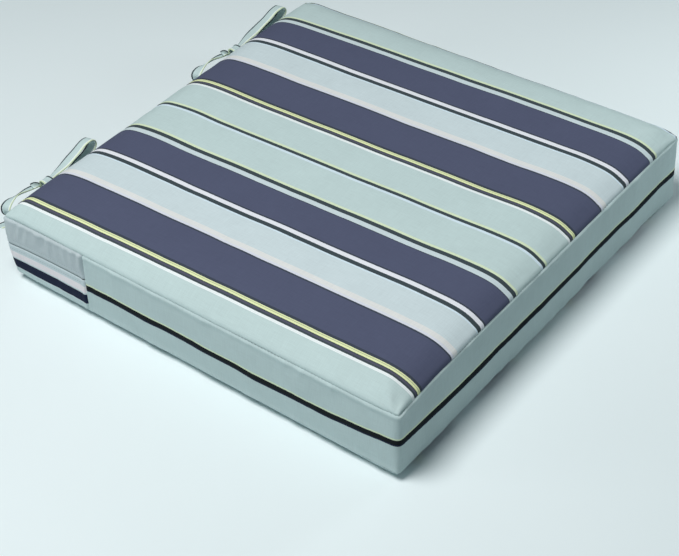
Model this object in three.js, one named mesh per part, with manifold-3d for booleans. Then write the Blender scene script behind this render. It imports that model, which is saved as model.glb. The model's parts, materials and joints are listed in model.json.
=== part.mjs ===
// Box-edge chair seat pad: a foam block in a zipped striped cover, with two pairs of ties at the rear.
// Millimetres. +X is the sitter's right, +Y the rear (zip and ties), +Z up, z = 0 the underside.
import * as THREE from 'three';
import { mergeVertices } from 'three/addons/utils/BufferGeometryUtils.js';
import Module from 'manifold-3d';

// ---- Driving dimensions ----
const WIDTH = 500;
const DEPTH = 508;
const HEIGHT = 100;
const LOWER_SEAM_Z = 8;
const UPPER_SEAM_Z = 86;
const CORNER_RADIUS = 22;
const CROWN_RUN = 44;
const UNDERSIDE_RUN = 26;
const CROWN_SHOULDER = 10;

const FABRIC = 1.0;
const GAP = 0.3;
const FOAM_INSET = 6.5;
const FOAM_BOTTOM_Z = 12;
const FOAM_TOP_Z = 88;

// The zip sits in the rear boxing, which wraps both rear corners up to a vertical seam.
const REAR_WRAP = 110;
const ZIP_Z = 51.5;
const ZIP_SLIT = 3.0;
const TAPE_WIDTH = 14;
const TAPE_THICKNESS = 0.6;
const COIL_SLOT = 1.6;
const COIL_WIDTH = 2.5;
const COIL_THICKNESS = 2.0;
const COIL_SETBACK = 5;
const STOP_LENGTH = 3;
const STOP_HEIGHT = 8;

const SLIDER_X = 205;
const SLIDER_LENGTH = 12;
const SLIDER_HEIGHT = 8;
const SLIDER_PLATE = 1.2;
const NECK_LENGTH = 5;
const NECK_THICKNESS = 1.0;
const BRIDGE_LENGTH = 8;
const BRIDGE_WIDTH = 1.6;
const BRIDGE_WALL = 1.1;
const BRIDGE_RISE = 2.6;

const PULL_BAR_RADIUS = 0.8;
const PULL_EYE_LENGTH = 6.5;
const PULL_TAB_LENGTH = 18;
const PULL_WIDTH = 7;
const PULL_ARM = 1.4;
const PULL_THICKNESS = 1.2;

// Ties: flat straps whose loops lie in upright planes behind the rear seam.
const STRAP_WIDTH = 12.7;
const STRAP_THICKNESS = 1.2;
const STRAP_Y = DEPTH / 2 + 11;
const STRAP_STEPS = 36;
const KNOT_LENGTH = 14;
const KNOT_BOTTOM_Z = 75;
const KNOT_TOP_Z = 83.7;
const BOWS = [
  { side: 'left', x: -183, leftReach: 55, rightReach: 76 },
  { side: 'right', x: 121, leftReach: 63, rightReach: 96 },
];
// Strap centre lines as [reach along X as a share of the loop's length, height z].
const LEFT_LOOP = [
  [-0.15, 80.5], [-0.5, 85], [-0.82, 86.5], [-0.98, 81], [-0.95, 72.5], [-0.72, 68.5], [-0.4, 69.5], [-0.05, 72.5],
];
const RIGHT_LOOP = [
  [0.11, 80.5], [0.4, 86], [0.68, 93], [0.87, 96.3], [0.99, 91], [0.97, 81.5], [0.77, 75], [0.45, 69.5],
  [0.13, 64.5],
];
const LOOSE_END = [[-0.25, 61.5], [-0.72, 60.5], [-1.05, 62.5], [-1.23, 66]];

// ---- Materials ----
const AQUA = 0xbad2d4;
const NAVY = 0x454c6c;
const LIGHT_BLUE = 0xc4d7de;
const FIBRE_WHITE = 0xf2f2ee;
const FOAM_CREAM = 0xf0e6c8;
const METAL_GREY = 0xb4b8bc;

function material(color, roughness, metalness = 0) {
  return new THREE.MeshStandardMaterial({ color, roughness, metalness });
}

// ---- Solids ----
const wasm = await Module();
wasm.setup();

function solid(geometry) {
  const bare = geometry.index ? geometry.toNonIndexed() : geometry.clone();
  bare.deleteAttribute('normal');
  bare.deleteAttribute('uv');
  const merged = mergeVertices(bare, 1e-4);
  return new wasm.Manifold(new wasm.Mesh({
    numProp: 3,
    vertProperties: new Float32Array(merged.attributes.position.array),
    triVerts: new Uint32Array(merged.index.array),
  }));
}

function box(low, high) {
  const size = high.map((value, axis) => value - low[axis]);
  const centre = high.map((value, axis) => (value + low[axis]) / 2);
  return solid(new THREE.BoxGeometry(...size).translate(...centre));
}

function meshOf(name, shape, finish) {
  const made = shape.getMesh();
  const geometry = new THREE.BufferGeometry();
  geometry.setAttribute('position', new THREE.BufferAttribute(new Float32Array(made.vertProperties), 3));
  geometry.setIndex(new THREE.BufferAttribute(new Uint32Array(made.triVerts), 1));
  geometry.computeVertexNormals();
  const mesh = new THREE.Mesh(geometry, finish);
  mesh.name = name;
  return mesh;
}

// ---- Outlines ----
function planOutline(inset, Kind = THREE.Shape) {
  const x = WIDTH / 2 - inset;
  const y = DEPTH / 2 - inset;
  const r = CORNER_RADIUS - inset;
  const outline = new Kind();
  outline.moveTo(-x + r, -y);
  outline.lineTo(x - r, -y);
  outline.absarc(x - r, -y + r, r, -Math.PI / 2, 0);
  outline.lineTo(x, y - r);
  outline.absarc(x - r, y - r, r, 0, Math.PI / 2);
  outline.lineTo(-x + r, y);
  outline.absarc(-x + r, y - r, r, Math.PI / 2, Math.PI);
  outline.lineTo(-x, -y + r);
  outline.absarc(-x + r, -y + r, r, Math.PI, 1.5 * Math.PI);
  return outline;
}

// Section across the pad: flat in the middle, upright boxing, rounded over above and below the seams.
function crownSection(half, inset) {
  const edge = half - inset;
  const top = HEIGHT - inset;
  const section = new THREE.Shape();
  section.moveTo(-half + UNDERSIDE_RUN, inset);
  section.lineTo(half - UNDERSIDE_RUN, inset);
  section.quadraticCurveTo(edge, inset, edge, LOWER_SEAM_Z);
  section.lineTo(edge, UPPER_SEAM_Z);
  section.quadraticCurveTo(edge - CROWN_SHOULDER, top, half - CROWN_RUN, top);
  section.lineTo(-half + CROWN_RUN, top);
  section.quadraticCurveTo(-edge + CROWN_SHOULDER, top, -edge, UPPER_SEAM_Z);
  section.lineTo(-edge, LOWER_SEAM_Z);
  section.quadraticCurveTo(-edge, inset, -half + UNDERSIDE_RUN, inset);
  return section;
}

function extruded(shape, depth) {
  return new THREE.ExtrudeGeometry(shape, { depth, bevelEnabled: false, curveSegments: 8 });
}

// The pad's outer form, offset inwards: three extrusions along X, Y and Z, intersected.
function padForm(inset) {
  const alongY = extruded(crownSection(WIDTH / 2, inset), DEPTH).rotateX(Math.PI / 2).translate(0, DEPTH / 2, 0);
  const alongX = extruded(crownSection(DEPTH / 2, inset), WIDTH)
    .rotateX(Math.PI / 2)
    .rotateZ(Math.PI / 2)
    .translate(-WIDTH / 2, 0, 0);
  const upright = extruded(planOutline(inset), HEIGHT);
  return solid(alongY).intersect(solid(alongX)).intersect(solid(upright));
}

function slice(shape, lowZ, highZ) {
  return shape.intersect(box([-WIDTH, -DEPTH, lowZ], [WIDTH, DEPTH, highZ]));
}

// A wall that follows the plan outline between two insets and two heights.
function wall(outerInset, innerInset, lowZ, highZ) {
  const ring = planOutline(outerInset);
  ring.holes.push(planOutline(innerInset, THREE.Path));
  return solid(extruded(ring, highZ - lowZ).translate(0, 0, lowZ));
}

const VERTICAL_SEAM_Y = DEPTH / 2 - REAR_WRAP;

function rearPart(shape, setback = GAP / 2) {
  return shape.intersect(box([-WIDTH, VERTICAL_SEAM_Y + setback, -1], [WIDTH, DEPTH, HEIGHT + 1]));
}

function frontPart(shape) {
  return shape.intersect(box([-WIDTH, -DEPTH, -1], [WIDTH, VERTICAL_SEAM_Y - GAP / 2, HEIGHT + 1]));
}

// ---- Filling ----
function foamCore() {
  const lowZ = FOAM_BOTTOM_Z + GAP / 2;
  const highZ = FOAM_TOP_Z - GAP / 2;
  return solid(extruded(planOutline(FOAM_INSET), highZ - lowZ).translate(0, 0, lowZ)).intersect(padForm(FABRIC + GAP));
}

function batting(lowZ, highZ) {
  return slice(padForm(FABRIC + GAP), lowZ, highZ);
}

// ---- Cover ----
const coverShell = padForm(0).subtract(padForm(FABRIC));

function boxing(lowZ, highZ) {
  return slice(coverShell, lowZ + GAP / 2, highZ - GAP / 2);
}

// ---- Zip ----
const TAPE_INSET = FABRIC + GAP;
const COIL_INSET = TAPE_INSET + TAPE_THICKNESS + GAP;
const BACK_PLATE_INSET = COIL_INSET + COIL_THICKNESS + GAP;

// direction is +1 for the half above the slit and -1 for the half below it.
function zipBand(direction, inset, thickness, width, setback) {
  const near = ZIP_Z + direction * COIL_SLOT / 2;
  const far = near + direction * width;
  return rearPart(wall(inset, inset + thickness, Math.min(near, far), Math.max(near, far)), setback);
}

function zipStop(side) {
  const outer = side * (WIDTH / 2 - COIL_INSET);
  const inner = side * (WIDTH / 2 - COIL_INSET - COIL_THICKNESS);
  const y = VERTICAL_SEAM_Y + (COIL_SETBACK - STOP_LENGTH) / 2;
  return box(
    [Math.min(outer, inner), y, ZIP_Z - STOP_HEIGHT / 2],
    [Math.max(outer, inner), y + STOP_LENGTH, ZIP_Z + STOP_HEIGHT / 2],
  );
}

const REAR_Y = DEPTH / 2;
const FRONT_PLATE_Y = REAR_Y + GAP;
const BRIDGE_Y = FRONT_PLATE_Y + SLIDER_PLATE;

// Back plate behind the coils, thin neck between them, front plate and bridge outside the fabric.
function zipSlider() {
  const halfLength = SLIDER_LENGTH / 2;
  const halfHeight = SLIDER_HEIGHT / 2;
  const block = (halfX, lowY, highY, halfZ, x = 0) => box(
    [SLIDER_X + x - halfX, lowY, ZIP_Z - halfZ],
    [SLIDER_X + x + halfX, highY, ZIP_Z + halfZ],
  );
  const backY = REAR_Y - BACK_PLATE_INSET;
  const postX = (BRIDGE_LENGTH + BRIDGE_WALL) / 2;
  const bridgeTop = BRIDGE_Y + BRIDGE_RISE;
  return block(halfLength, backY - SLIDER_PLATE, backY, halfHeight)
    .add(block(NECK_LENGTH / 2, backY - SLIDER_PLATE / 2, FRONT_PLATE_Y + SLIDER_PLATE / 2, NECK_THICKNESS / 2))
    .add(block(halfLength, FRONT_PLATE_Y, BRIDGE_Y, halfHeight))
    .add(block(BRIDGE_WALL / 2, BRIDGE_Y - SLIDER_PLATE / 2, bridgeTop, BRIDGE_WIDTH / 2, -postX))
    .add(block(BRIDGE_WALL / 2, BRIDGE_Y - SLIDER_PLATE / 2, bridgeTop, BRIDGE_WIDTH / 2, postX))
    .add(block(postX + BRIDGE_WALL / 2, bridgeTop, bridgeTop + BRIDGE_WALL, BRIDGE_WIDTH / 2));
}

// The pull turns on a cross bar that lies under the slider's bridge.
const PULL_Y = BRIDGE_Y + BRIDGE_RISE / 2;

function zipPull() {
  const bar = new THREE.CylinderGeometry(PULL_BAR_RADIUS, PULL_BAR_RADIUS, PULL_WIDTH - PULL_ARM, 16)
    .rotateX(Math.PI / 2)
    .translate(SLIDER_X, PULL_Y, ZIP_Z);
  const eyeEnd = SLIDER_X - PULL_EYE_LENGTH;
  const lowY = PULL_Y - PULL_THICKNESS / 2;
  const highY = PULL_Y + PULL_THICKNESS / 2;
  const arm = (side) => {
    const outer = ZIP_Z + side * PULL_WIDTH / 2;
    const inner = outer - side * PULL_ARM;
    return box(
      [eyeEnd - 1, lowY, Math.min(outer, inner)],
      [SLIDER_X + PULL_BAR_RADIUS, highY, Math.max(outer, inner)],
    );
  };
  const tab = box(
    [eyeEnd - PULL_TAB_LENGTH, lowY, ZIP_Z - PULL_WIDTH / 2],
    [eyeEnd, highY, ZIP_Z + PULL_WIDTH / 2],
  );
  return solid(bar).add(arm(-1)).add(arm(1)).add(tab);
}

// ---- Ties ----
function strap(points) {
  const path = new THREE.CatmullRomCurve3(points.map(([x, z]) => new THREE.Vector3(x, STRAP_Y, z)));
  const section = new THREE.Shape([
    new THREE.Vector2(-STRAP_WIDTH / 2, -STRAP_THICKNESS / 2),
    new THREE.Vector2(STRAP_WIDTH / 2, -STRAP_THICKNESS / 2),
    new THREE.Vector2(STRAP_WIDTH / 2, STRAP_THICKNESS / 2),
    new THREE.Vector2(-STRAP_WIDTH / 2, STRAP_THICKNESS / 2),
  ]);
  return solid(new THREE.ExtrudeGeometry(section, { steps: STRAP_STEPS, bevelEnabled: false, extrudePath: path }));
}

function reaching(points, x, reach) {
  return points.map(([share, z]) => [x + share * reach, z]);
}

// The knot's wraps are one block on the first strap, sewn to the seam; the second strap meets it.
function knottedStrap({ x, leftReach }) {
  const knot = box(
    [x - KNOT_LENGTH / 2, REAR_Y + GAP, KNOT_BOTTOM_Z],
    [x + KNOT_LENGTH / 2, STRAP_Y + STRAP_WIDTH / 2, KNOT_TOP_Z],
  );
  const root = [x - KNOT_LENGTH / 2 + 2, 79.5];
  return strap([root, ...reaching(LEFT_LOOP, x, leftReach)]).add(knot);
}

function loopedStrap({ x, leftReach, rightReach }) {
  const root = [x + KNOT_LENGTH / 2 + GAP, 79];
  return strap([
    root,
    ...reaching(RIGHT_LOOP.slice(1), x, rightReach),
    ...reaching(LOOSE_END, x, leftReach),
  ]);
}

// ---- Assembly ----
const aquaFabric = () => material(AQUA, 0.9);
const zipMetal = () => material(METAL_GREY, 0.35, 0.9);

const seatPad = new THREE.Group();
seatPad.name = 'chair_seat_pad';
seatPad.add(
  meshOf('foam_core', foamCore(), material(FOAM_CREAM, 0.95)),
  meshOf('batting_top', batting(FOAM_TOP_Z + GAP / 2, HEIGHT), material(FIBRE_WHITE, 0.95)),
  meshOf('batting_bottom', batting(0, FOAM_BOTTOM_Z - GAP / 2), material(FIBRE_WHITE, 0.95)),
  meshOf('top_panel', slice(coverShell, UPPER_SEAM_Z + GAP / 2, HEIGHT + 1), material(NAVY, 0.9)),
  meshOf('bottom_panel', slice(coverShell, -1, LOWER_SEAM_Z - GAP / 2), material(NAVY, 0.9)),
  meshOf('front_boxing', frontPart(boxing(LOWER_SEAM_Z, UPPER_SEAM_Z)), aquaFabric()),
  meshOf('rear_boxing_upper', rearPart(boxing(ZIP_Z + ZIP_SLIT / 2, UPPER_SEAM_Z)), material(LIGHT_BLUE, 0.9)),
  meshOf('rear_boxing_lower', rearPart(boxing(LOWER_SEAM_Z, ZIP_Z - ZIP_SLIT / 2)), material(LIGHT_BLUE, 0.9)),
);
for (const [half, direction] of [['upper', 1], ['lower', -1]]) {
  seatPad.add(
    meshOf(
      `zip_tape_${half}`,
      zipBand(direction, TAPE_INSET, TAPE_THICKNESS, TAPE_WIDTH, GAP / 2),
      material(AQUA, 0.85),
    ),
    meshOf(
      `zip_coil_${half}`,
      zipBand(direction, COIL_INSET, COIL_THICKNESS, COIL_WIDTH, COIL_SETBACK),
      material(AQUA, 0.4),
    ),
  );
}
seatPad.add(
  meshOf('zip_stop_left', zipStop(-1), zipMetal()),
  meshOf('zip_stop_right', zipStop(1), zipMetal()),
  meshOf('zip_slider', zipSlider(), zipMetal()),
  meshOf('zip_pull', zipPull(), zipMetal()),
);
for (const bow of BOWS) {
  seatPad.add(
    meshOf(`tie_${bow.side}_a`, knottedStrap(bow), aquaFabric()),
    meshOf(`tie_${bow.side}_b`, loopedStrap(bow), aquaFabric()),
  );
}

export default seatPad;
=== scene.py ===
"""Looks of the box-edge chair seat pad: sewn cover, zip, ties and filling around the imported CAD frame.

Metres, in the CAD row's frame: +X is the sitter's right, +Y the rear (zip and ties), +Z up.
"""

import json
import math

import bpy
import numpy as np
from mathutils import Matrix, Vector


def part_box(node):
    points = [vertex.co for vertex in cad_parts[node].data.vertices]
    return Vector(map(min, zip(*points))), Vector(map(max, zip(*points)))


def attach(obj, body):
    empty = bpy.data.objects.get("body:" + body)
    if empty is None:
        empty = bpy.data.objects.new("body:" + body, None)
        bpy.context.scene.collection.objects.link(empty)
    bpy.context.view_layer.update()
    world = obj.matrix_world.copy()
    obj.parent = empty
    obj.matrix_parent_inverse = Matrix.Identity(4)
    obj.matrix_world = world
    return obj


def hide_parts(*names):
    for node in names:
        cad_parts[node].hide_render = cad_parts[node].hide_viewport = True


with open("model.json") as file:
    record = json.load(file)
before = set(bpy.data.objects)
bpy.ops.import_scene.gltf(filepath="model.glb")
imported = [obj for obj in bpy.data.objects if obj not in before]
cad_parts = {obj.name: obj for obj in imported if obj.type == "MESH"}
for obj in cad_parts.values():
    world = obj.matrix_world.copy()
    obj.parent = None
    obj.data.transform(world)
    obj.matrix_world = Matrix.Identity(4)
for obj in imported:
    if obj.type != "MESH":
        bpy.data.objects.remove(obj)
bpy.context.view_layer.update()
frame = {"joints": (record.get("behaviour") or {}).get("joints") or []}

MM = 0.001

# ---- Places taken from the frame ----
BOXING_LOW, BOXING_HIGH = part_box("front_boxing")
HALF_X = BOXING_HIGH.x
HALF_Y = -BOXING_LOW.y
UPPER_SEAM_Z = BOXING_HIGH.z
LOWER_SEAM_Z = BOXING_LOW.z
BOXING_HEIGHT = UPPER_SEAM_Z - LOWER_SEAM_Z
CROWN_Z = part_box("top_panel")[1].z
FOAM_LOW_Z, FOAM_HIGH_Z = (corner.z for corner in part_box("foam_core"))
VERTICAL_SEAM_Y = BOXING_HIGH.y
ZIP_Z = (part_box("rear_boxing_upper")[0].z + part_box("rear_boxing_lower")[1].z) / 2
JOINT_PLACE = {joint["name"]: joint.get("pos_m") for joint in frame["joints"]}

# ---- Camera, at the photograph's viewing angle ----
VIEW_AZIMUTH = math.radians(-48.4)
VIEW_ELEVATION = math.radians(40.8)
VIEW_ROLL = math.radians(-4.9)
VIEW_DISTANCE = 1.6865
VIEW_RIGHT = -0.0136
VIEW_UP = -0.0481
LENS_MM = 83.0


def placed(name, data):
    """A new object in the scene, made from a mesh, a lamp or a camera."""
    made = bpy.data.objects.new(name, data)
    bpy.context.scene.collection.objects.link(made)
    return made


def add_camera():
    data = bpy.data.cameras.new("camera")
    data.lens = LENS_MM
    data.sensor_width = 36
    camera = placed("camera", data)
    level = Matrix.Rotation(VIEW_AZIMUTH, 4, "Z") @ Matrix.Rotation(math.pi / 2 - VIEW_ELEVATION, 4, "X")
    place = level @ Vector((VIEW_RIGHT, VIEW_UP, VIEW_DISTANCE)) + Vector((0, 0, LOWER_SEAM_Z))
    camera.matrix_world = Matrix.Translation(place) @ level @ Matrix.Rotation(VIEW_ROLL, 4, "Z")
    bpy.context.scene.camera = camera


add_camera()


# ---- Numeric helpers ----
def resample(values, positions, closed=False):
    """Rows of values at fractional positions along axis 0, by Catmull-Rom interpolation."""
    values = np.asarray(values, float)
    positions = np.asarray(positions, float)
    base = np.floor(positions).astype(int)
    if closed:
        pick = [values[(base + step) % len(values)] for step in (-1, 0, 1, 2)]
    else:
        base = np.clip(base, 0, len(values) - 2)
        longer = np.concatenate([2 * values[:1] - values[1:2], values, 2 * values[-1:] - values[-2:-1]])
        pick = [longer[base + step] for step in (0, 1, 2, 3)]
    t = (positions - base).reshape((-1,) + (1,) * (values.ndim - 1))
    a, b, c, d = pick
    return b + 0.5 * t * ((c - a) + t * ((2 * a - 5 * b + 4 * c - d) + t * (3 * (b - c) + d - a)))


def unit(vectors):
    return vectors / np.maximum(np.linalg.norm(vectors, axis=-1, keepdims=True), 1e-12)


def ease(x):
    x = np.clip(x, 0, 1)
    return x * x * (3 - 2 * x)


def hump(x, middle, width):
    """A smooth bump of height 1 at the middle."""
    return np.exp(-(((x - middle) / width) ** 2))


def circle_angles(count):
    return 2 * math.pi * np.arange(count) / count


def smooth_noise(x, y, size, seed):
    """Soft value noise from -1 to 1 over (x, y), with lumps about size across."""
    table = np.random.RandomState(seed).uniform(-1, 1, (64, 64))
    gx, gy = np.asarray(x) / size + 13.7, np.asarray(y) / size + 5.3
    ix, iy = np.floor(gx).astype(int), np.floor(gy).astype(int)
    fx, fy = ease(gx - ix), ease(gy - iy)
    corner = lambda i, j: table[(ix + i) % 64, (iy + j) % 64]
    low = corner(0, 0) * (1 - fx) + corner(1, 0) * fx
    high = corner(0, 1) * (1 - fx) + corner(1, 1) * fx
    return low * (1 - fy) + high * fy


def distances(line):
    return np.concatenate([[0], np.cumsum(np.linalg.norm(np.diff(line, axis=0), axis=1))])


def evenly(line, step):
    """The same line with points a step apart."""
    at = distances(line)
    wanted = np.linspace(0, at[-1], max(2, round(at[-1] / step) + 1))
    return np.stack([np.interp(wanted, at, line[:, axis]) for axis in range(line.shape[1])], 1)


def curve_through(points, step):
    """A smooth line through given points, with points a step apart."""
    knots = np.concatenate([[0], np.cumsum(np.sqrt(np.linalg.norm(np.diff(points, axis=0), axis=1)))])
    slopes = np.gradient(points, knots, axis=0)
    at = np.linspace(0, knots[-1], 30 * len(points))
    before = np.clip(np.searchsorted(knots, at, side="right") - 1, 0, len(knots) - 2)
    span = (knots[before + 1] - knots[before])[:, None]
    t = (at - knots[before])[:, None] / span
    start = (1 + 2 * t) * (1 - t) ** 2 * points[before] + t * (1 - t) ** 2 * span * slopes[before]
    end = t**2 * (3 - 2 * t) * points[before + 1] - t**2 * (1 - t) * span * slopes[before + 1]
    return evenly(start + end, step)


def directions(line, closed=False):
    if closed:
        return unit(np.roll(line, -1, axis=0) - np.roll(line, 1, axis=0))
    return unit(np.gradient(line, axis=0))


# ---- Mesh helpers ----
def new_object(name, points, faces, cloth=None):
    """A smooth-shaded mesh object; cloth holds each point's place on its flat cloth, in metres."""
    mesh = bpy.data.meshes.new(name)
    mesh.from_pydata(np.asarray(points).tolist(), [], [tuple(int(n) for n in face) for face in faces])
    if cloth is not None:
        layer = mesh.attributes.new("cloth", "FLOAT_VECTOR", "POINT")
        layer.data.foreach_set("vector", np.asarray(cloth, np.float32).ravel())
    mesh.polygons.foreach_set("use_smooth", [True] * len(mesh.polygons))
    return placed(name, mesh)


def apply_modifiers(made):
    finished = made.evaluated_get(bpy.context.evaluated_depsgraph_get())
    mesh = bpy.data.meshes.new_from_object(finished)
    made.modifiers.clear()
    made.data = mesh
    return made


def joined(name, parts):
    """One object from several, which it replaces."""
    points, faces, cloth, start = [], [], [], 0
    for part in parts:
        mesh = part.data
        points += [tuple(v.co) for v in mesh.vertices]
        faces += [[start + n for n in p.vertices] for p in mesh.polygons]
        layer = mesh.attributes.get("cloth")
        cloth += [tuple(d.vector) for d in layer.data] if layer else [tuple(v.co) for v in mesh.vertices]
        start += len(mesh.vertices)
        bpy.data.objects.remove(part)
    return new_object(name, points, faces, cloth)


def grid_faces(rows, columns):
    """Faces of a grid of points that are numbered along its rows."""
    number = np.arange(rows * columns).reshape(rows, columns)
    corners = (number[:-1, :-1], number[:-1, 1:], number[1:, 1:], number[1:, :-1])
    return np.stack(corners, -1).reshape(-1, 4)


def hoop_faces(below, above):
    """Faces between two closed rings of point numbers."""
    return np.stack([below, np.roll(below, -1), np.roll(above, -1), above], -1)


def skin(count, size, closed=False):
    """Faces over count rings of size points each; open ends get caps of quads."""
    number = np.arange(count * size).reshape(count, size)
    pairs = list(zip(number, np.roll(number, -1, axis=0)))
    faces = [hoop_faces(*pair) for pair in (pairs if closed else pairs[:-1])]
    if not closed:
        m = np.arange(size // 2 - 1)
        cap = np.stack([m, m + 1, size - 2 - m, size - 1 - m], -1)
        faces += [cap[:, ::-1], cap + (count - 1) * size]
    return np.concatenate(faces)


def tube(name, line, outward, radius, sides=6):
    """A round wire along a line; outward holds a direction across the line at each point."""
    along = directions(line)
    across = unit(np.cross(along, outward))
    outward = unit(np.cross(across, along))
    angle = circle_angles(sides) + math.pi / sides
    rings = line[:, None] + radius * (
        np.cos(angle)[None, :, None] * outward[:, None] + np.sin(angle)[None, :, None] * across[:, None]
    )
    return new_object(name, rings.reshape(-1, 3), skin(len(line), sides))


def round_rectangle(low, high, radius, steps=5):
    """Outline points of a rectangle with rounded corners."""
    points = []
    for n, (x, y) in enumerate(((high[0], high[1]), (low[0], high[1]), (low[0], low[1]), (high[0], low[1]))):
        middle = (x - radius * (1 if n in (0, 3) else -1), y - radius * (1 if n < 2 else -1))
        for step in range(steps + 1):
            angle = math.pi / 2 * (n + step / steps)
            points.append((middle[0] + radius * math.cos(angle), middle[1] + radius * math.sin(angle)))
    return points


def plate(name, outlines, thickness, bevel, place):
    """A flat plate with eased edges: the first outline is its edge and the others are holes."""
    curve = bpy.data.curves.new(name, "CURVE")
    curve.dimensions = "2D"
    curve.fill_mode = "BOTH"
    curve.extrude = thickness / 2 - bevel
    curve.bevel_depth = bevel
    curve.bevel_resolution = 2
    curve.offset = -bevel
    for outline in outlines:
        spline = curve.splines.new("POLY")
        spline.points.add(len(outline) - 1)
        for point, (x, y) in zip(spline.points, outline):
            point.co = (x, y, 0, 1)
        spline.use_cyclic_u = True
    shape = bpy.data.objects.new(name + "_outline", curve)
    mesh = bpy.data.meshes.new_from_object(shape)
    bpy.data.objects.remove(shape)
    mesh.transform(place)
    return placed(name, mesh)


# ---- Material helpers ----
class Nodes:
    """A material's node tree, with short calls for the nodes used here."""

    def __init__(self, name):
        self.material = bpy.data.materials.new(name)
        self.material.use_nodes = True
        self.tree = self.material.node_tree
        self.shader = self.tree.nodes["Principled BSDF"]

    def add(self, kind, **inputs):
        node = self.tree.nodes.new(kind)
        for key, value in inputs.items():
            self.feed(node.inputs[key.replace("_", " ")], value)
        return node

    def feed(self, socket, value):
        if isinstance(value, bpy.types.NodeSocket):
            self.tree.links.new(value, socket)
        else:
            socket.default_value = value

    def set(self, **constants):
        for key, value in constants.items():
            self.shader.inputs[key.replace("_", " ")].default_value = value

    def base(self, colour):
        self.feed(self.shader.inputs["Base Color"], colour)

    def math(self, operation, a, b=0.0):
        node = self.tree.nodes.new("ShaderNodeMath")
        node.operation = operation
        self.feed(node.inputs[0], a)
        self.feed(node.inputs[1], b)
        return node.outputs[0]

    def total(self, *terms):
        """The sum of values and of (value, factor) pairs."""
        values = [self.math("MULTIPLY", *term) if isinstance(term, tuple) else term for term in terms]
        result = values[0]
        for value in values[1:]:
            result = self.math("ADD", result, value)
        return result

    def noise(self, vector, scale, detail=2.0):
        node = self.add("ShaderNodeTexNoise", Vector=vector, Scale=scale, Detail=detail)
        return node.outputs["Fac"]

    def stretched(self, vector, scale):
        node = self.add("ShaderNodeMapping", Vector=vector)
        node.inputs["Scale"].default_value = scale
        return node.outputs[0]

    def ramp(self, value, stops, constant=False):
        node = self.tree.nodes.new("ShaderNodeValToRGB")
        ramp = node.color_ramp
        ramp.interpolation = "CONSTANT" if constant else "LINEAR"
        for n, (at, colour) in enumerate(stops):
            stop = ramp.elements[n] if n < 2 else ramp.elements.new(at)
            stop.position = at
            stop.color = (*colour, 1)
        self.feed(node.inputs[0], value)
        return node.outputs[0]

    def mix(self, kind, factor, a, b):
        node = self.tree.nodes.new("ShaderNodeMix")
        node.data_type = "RGBA"
        node.blend_type = kind
        self.feed(node.inputs["Factor"], factor)
        self.feed(node.inputs["A"], a)
        self.feed(node.inputs["B"], b)
        return node.outputs["Result"]

    def bump(self, height, strength, distance):
        node = self.add("ShaderNodeBump", Height=height, Strength=strength, Distance=distance)
        self.feed(self.shader.inputs["Normal"], node.outputs[0])

    def place(self):
        """Place on the object, in metres."""
        return self.add("ShaderNodeTexCoord").outputs["Object"]

    def cloth_place(self):
        """Place on the flat cloth, in metres."""
        node = self.add("ShaderNodeAttribute")
        node.attribute_name = "cloth"
        return node.outputs["Vector"]


def band_stops(bands):
    total = sum(width for _, width in bands)
    at, stops = 0.0, []
    for colour, width in bands:
        stops.append((at / total, colour))
        at += width
    return stops, total * MM


def weave(nodes, cloth, colour, thread=0.75 * MM):
    """Plain-weave cloth: crossing threads, slubs and small colour changes over a base colour, with painted
    shade in the dips between crossings.
    """
    split = nodes.add("ShaderNodeSeparateXYZ", Vector=cloth)
    turn = 2 * math.pi / thread
    warp = nodes.math("SINE", nodes.math("MULTIPLY", split.outputs[0], turn))
    weft = nodes.math("SINE", nodes.math("MULTIPLY", split.outputs[1], turn))
    over = nodes.math("MULTIPLY", warp, weft)
    slub_x = nodes.noise(nodes.stretched(cloth, (1100, 60, 1)), 1.0, 3)
    slub_y = nodes.noise(nodes.stretched(cloth, (60, 1100, 1)), 1.0, 3)
    slub = nodes.total(slub_x, slub_y)
    patch = nodes.noise(cloth, 22, 3)
    # The crossing term lightens the raised thread crossings and darkens the dips between them: painted shade
    # of the weave.
    shade = nodes.total((slub, 0.16), (patch, 0.10), (over, 0.04), 0.79)
    grey = nodes.add("ShaderNodeCombineColor", Red=shade, Green=shade, Blue=shade)
    nodes.base(nodes.mix("MULTIPLY", 1.0, colour, grey.outputs[0]))
    nodes.bump(nodes.total((over, 0.5), (slub, 0.8)), 0.35, 0.25 * MM)
    nodes.set(Roughness=0.92, Specular_IOR_Level=0.07, Sheen_Weight=0.03, Sheen_Roughness=0.4)
    return nodes.material


def banded_cloth(name, bands, axis, start, waver, waver_size, repeat=False, slant=0.0):
    """Woven cloth whose coloured bands lie along one cloth axis, with edges that waver a little."""
    nodes = Nodes(name)
    cloth = nodes.cloth_place()
    split = nodes.add("ShaderNodeSeparateXYZ", Vector=cloth)
    sway = nodes.math("SUBTRACT", nodes.noise(cloth, 1 / waver_size, 1), 0.5)
    fray = nodes.math("SUBTRACT", nodes.noise(cloth, 900, 1), 0.5)
    across, along = split.outputs[axis], split.outputs[1 - axis]
    place = nodes.total(across, (along, slant), (sway, 2 * waver), (fray, 0.5 * MM))
    stops, total = band_stops(bands)
    share = nodes.math("DIVIDE", nodes.math("SUBTRACT", place, start), total)
    if repeat:
        share = nodes.math("FRACT", share)
    return weave(nodes, cloth, nodes.ramp(share, stops, constant=True))


def paint(made, material):
    made.data.materials.clear()
    made.data.materials.append(material)


def keep(piece, body, slot, material, *nodes):
    """A finished piece: it rides a body, stands for CAD nodes and takes a material; the slot argument is not
    used.
    """
    paint(piece, material)
    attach(piece, body)
    if nodes:
        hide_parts(*nodes)
    return piece


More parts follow.
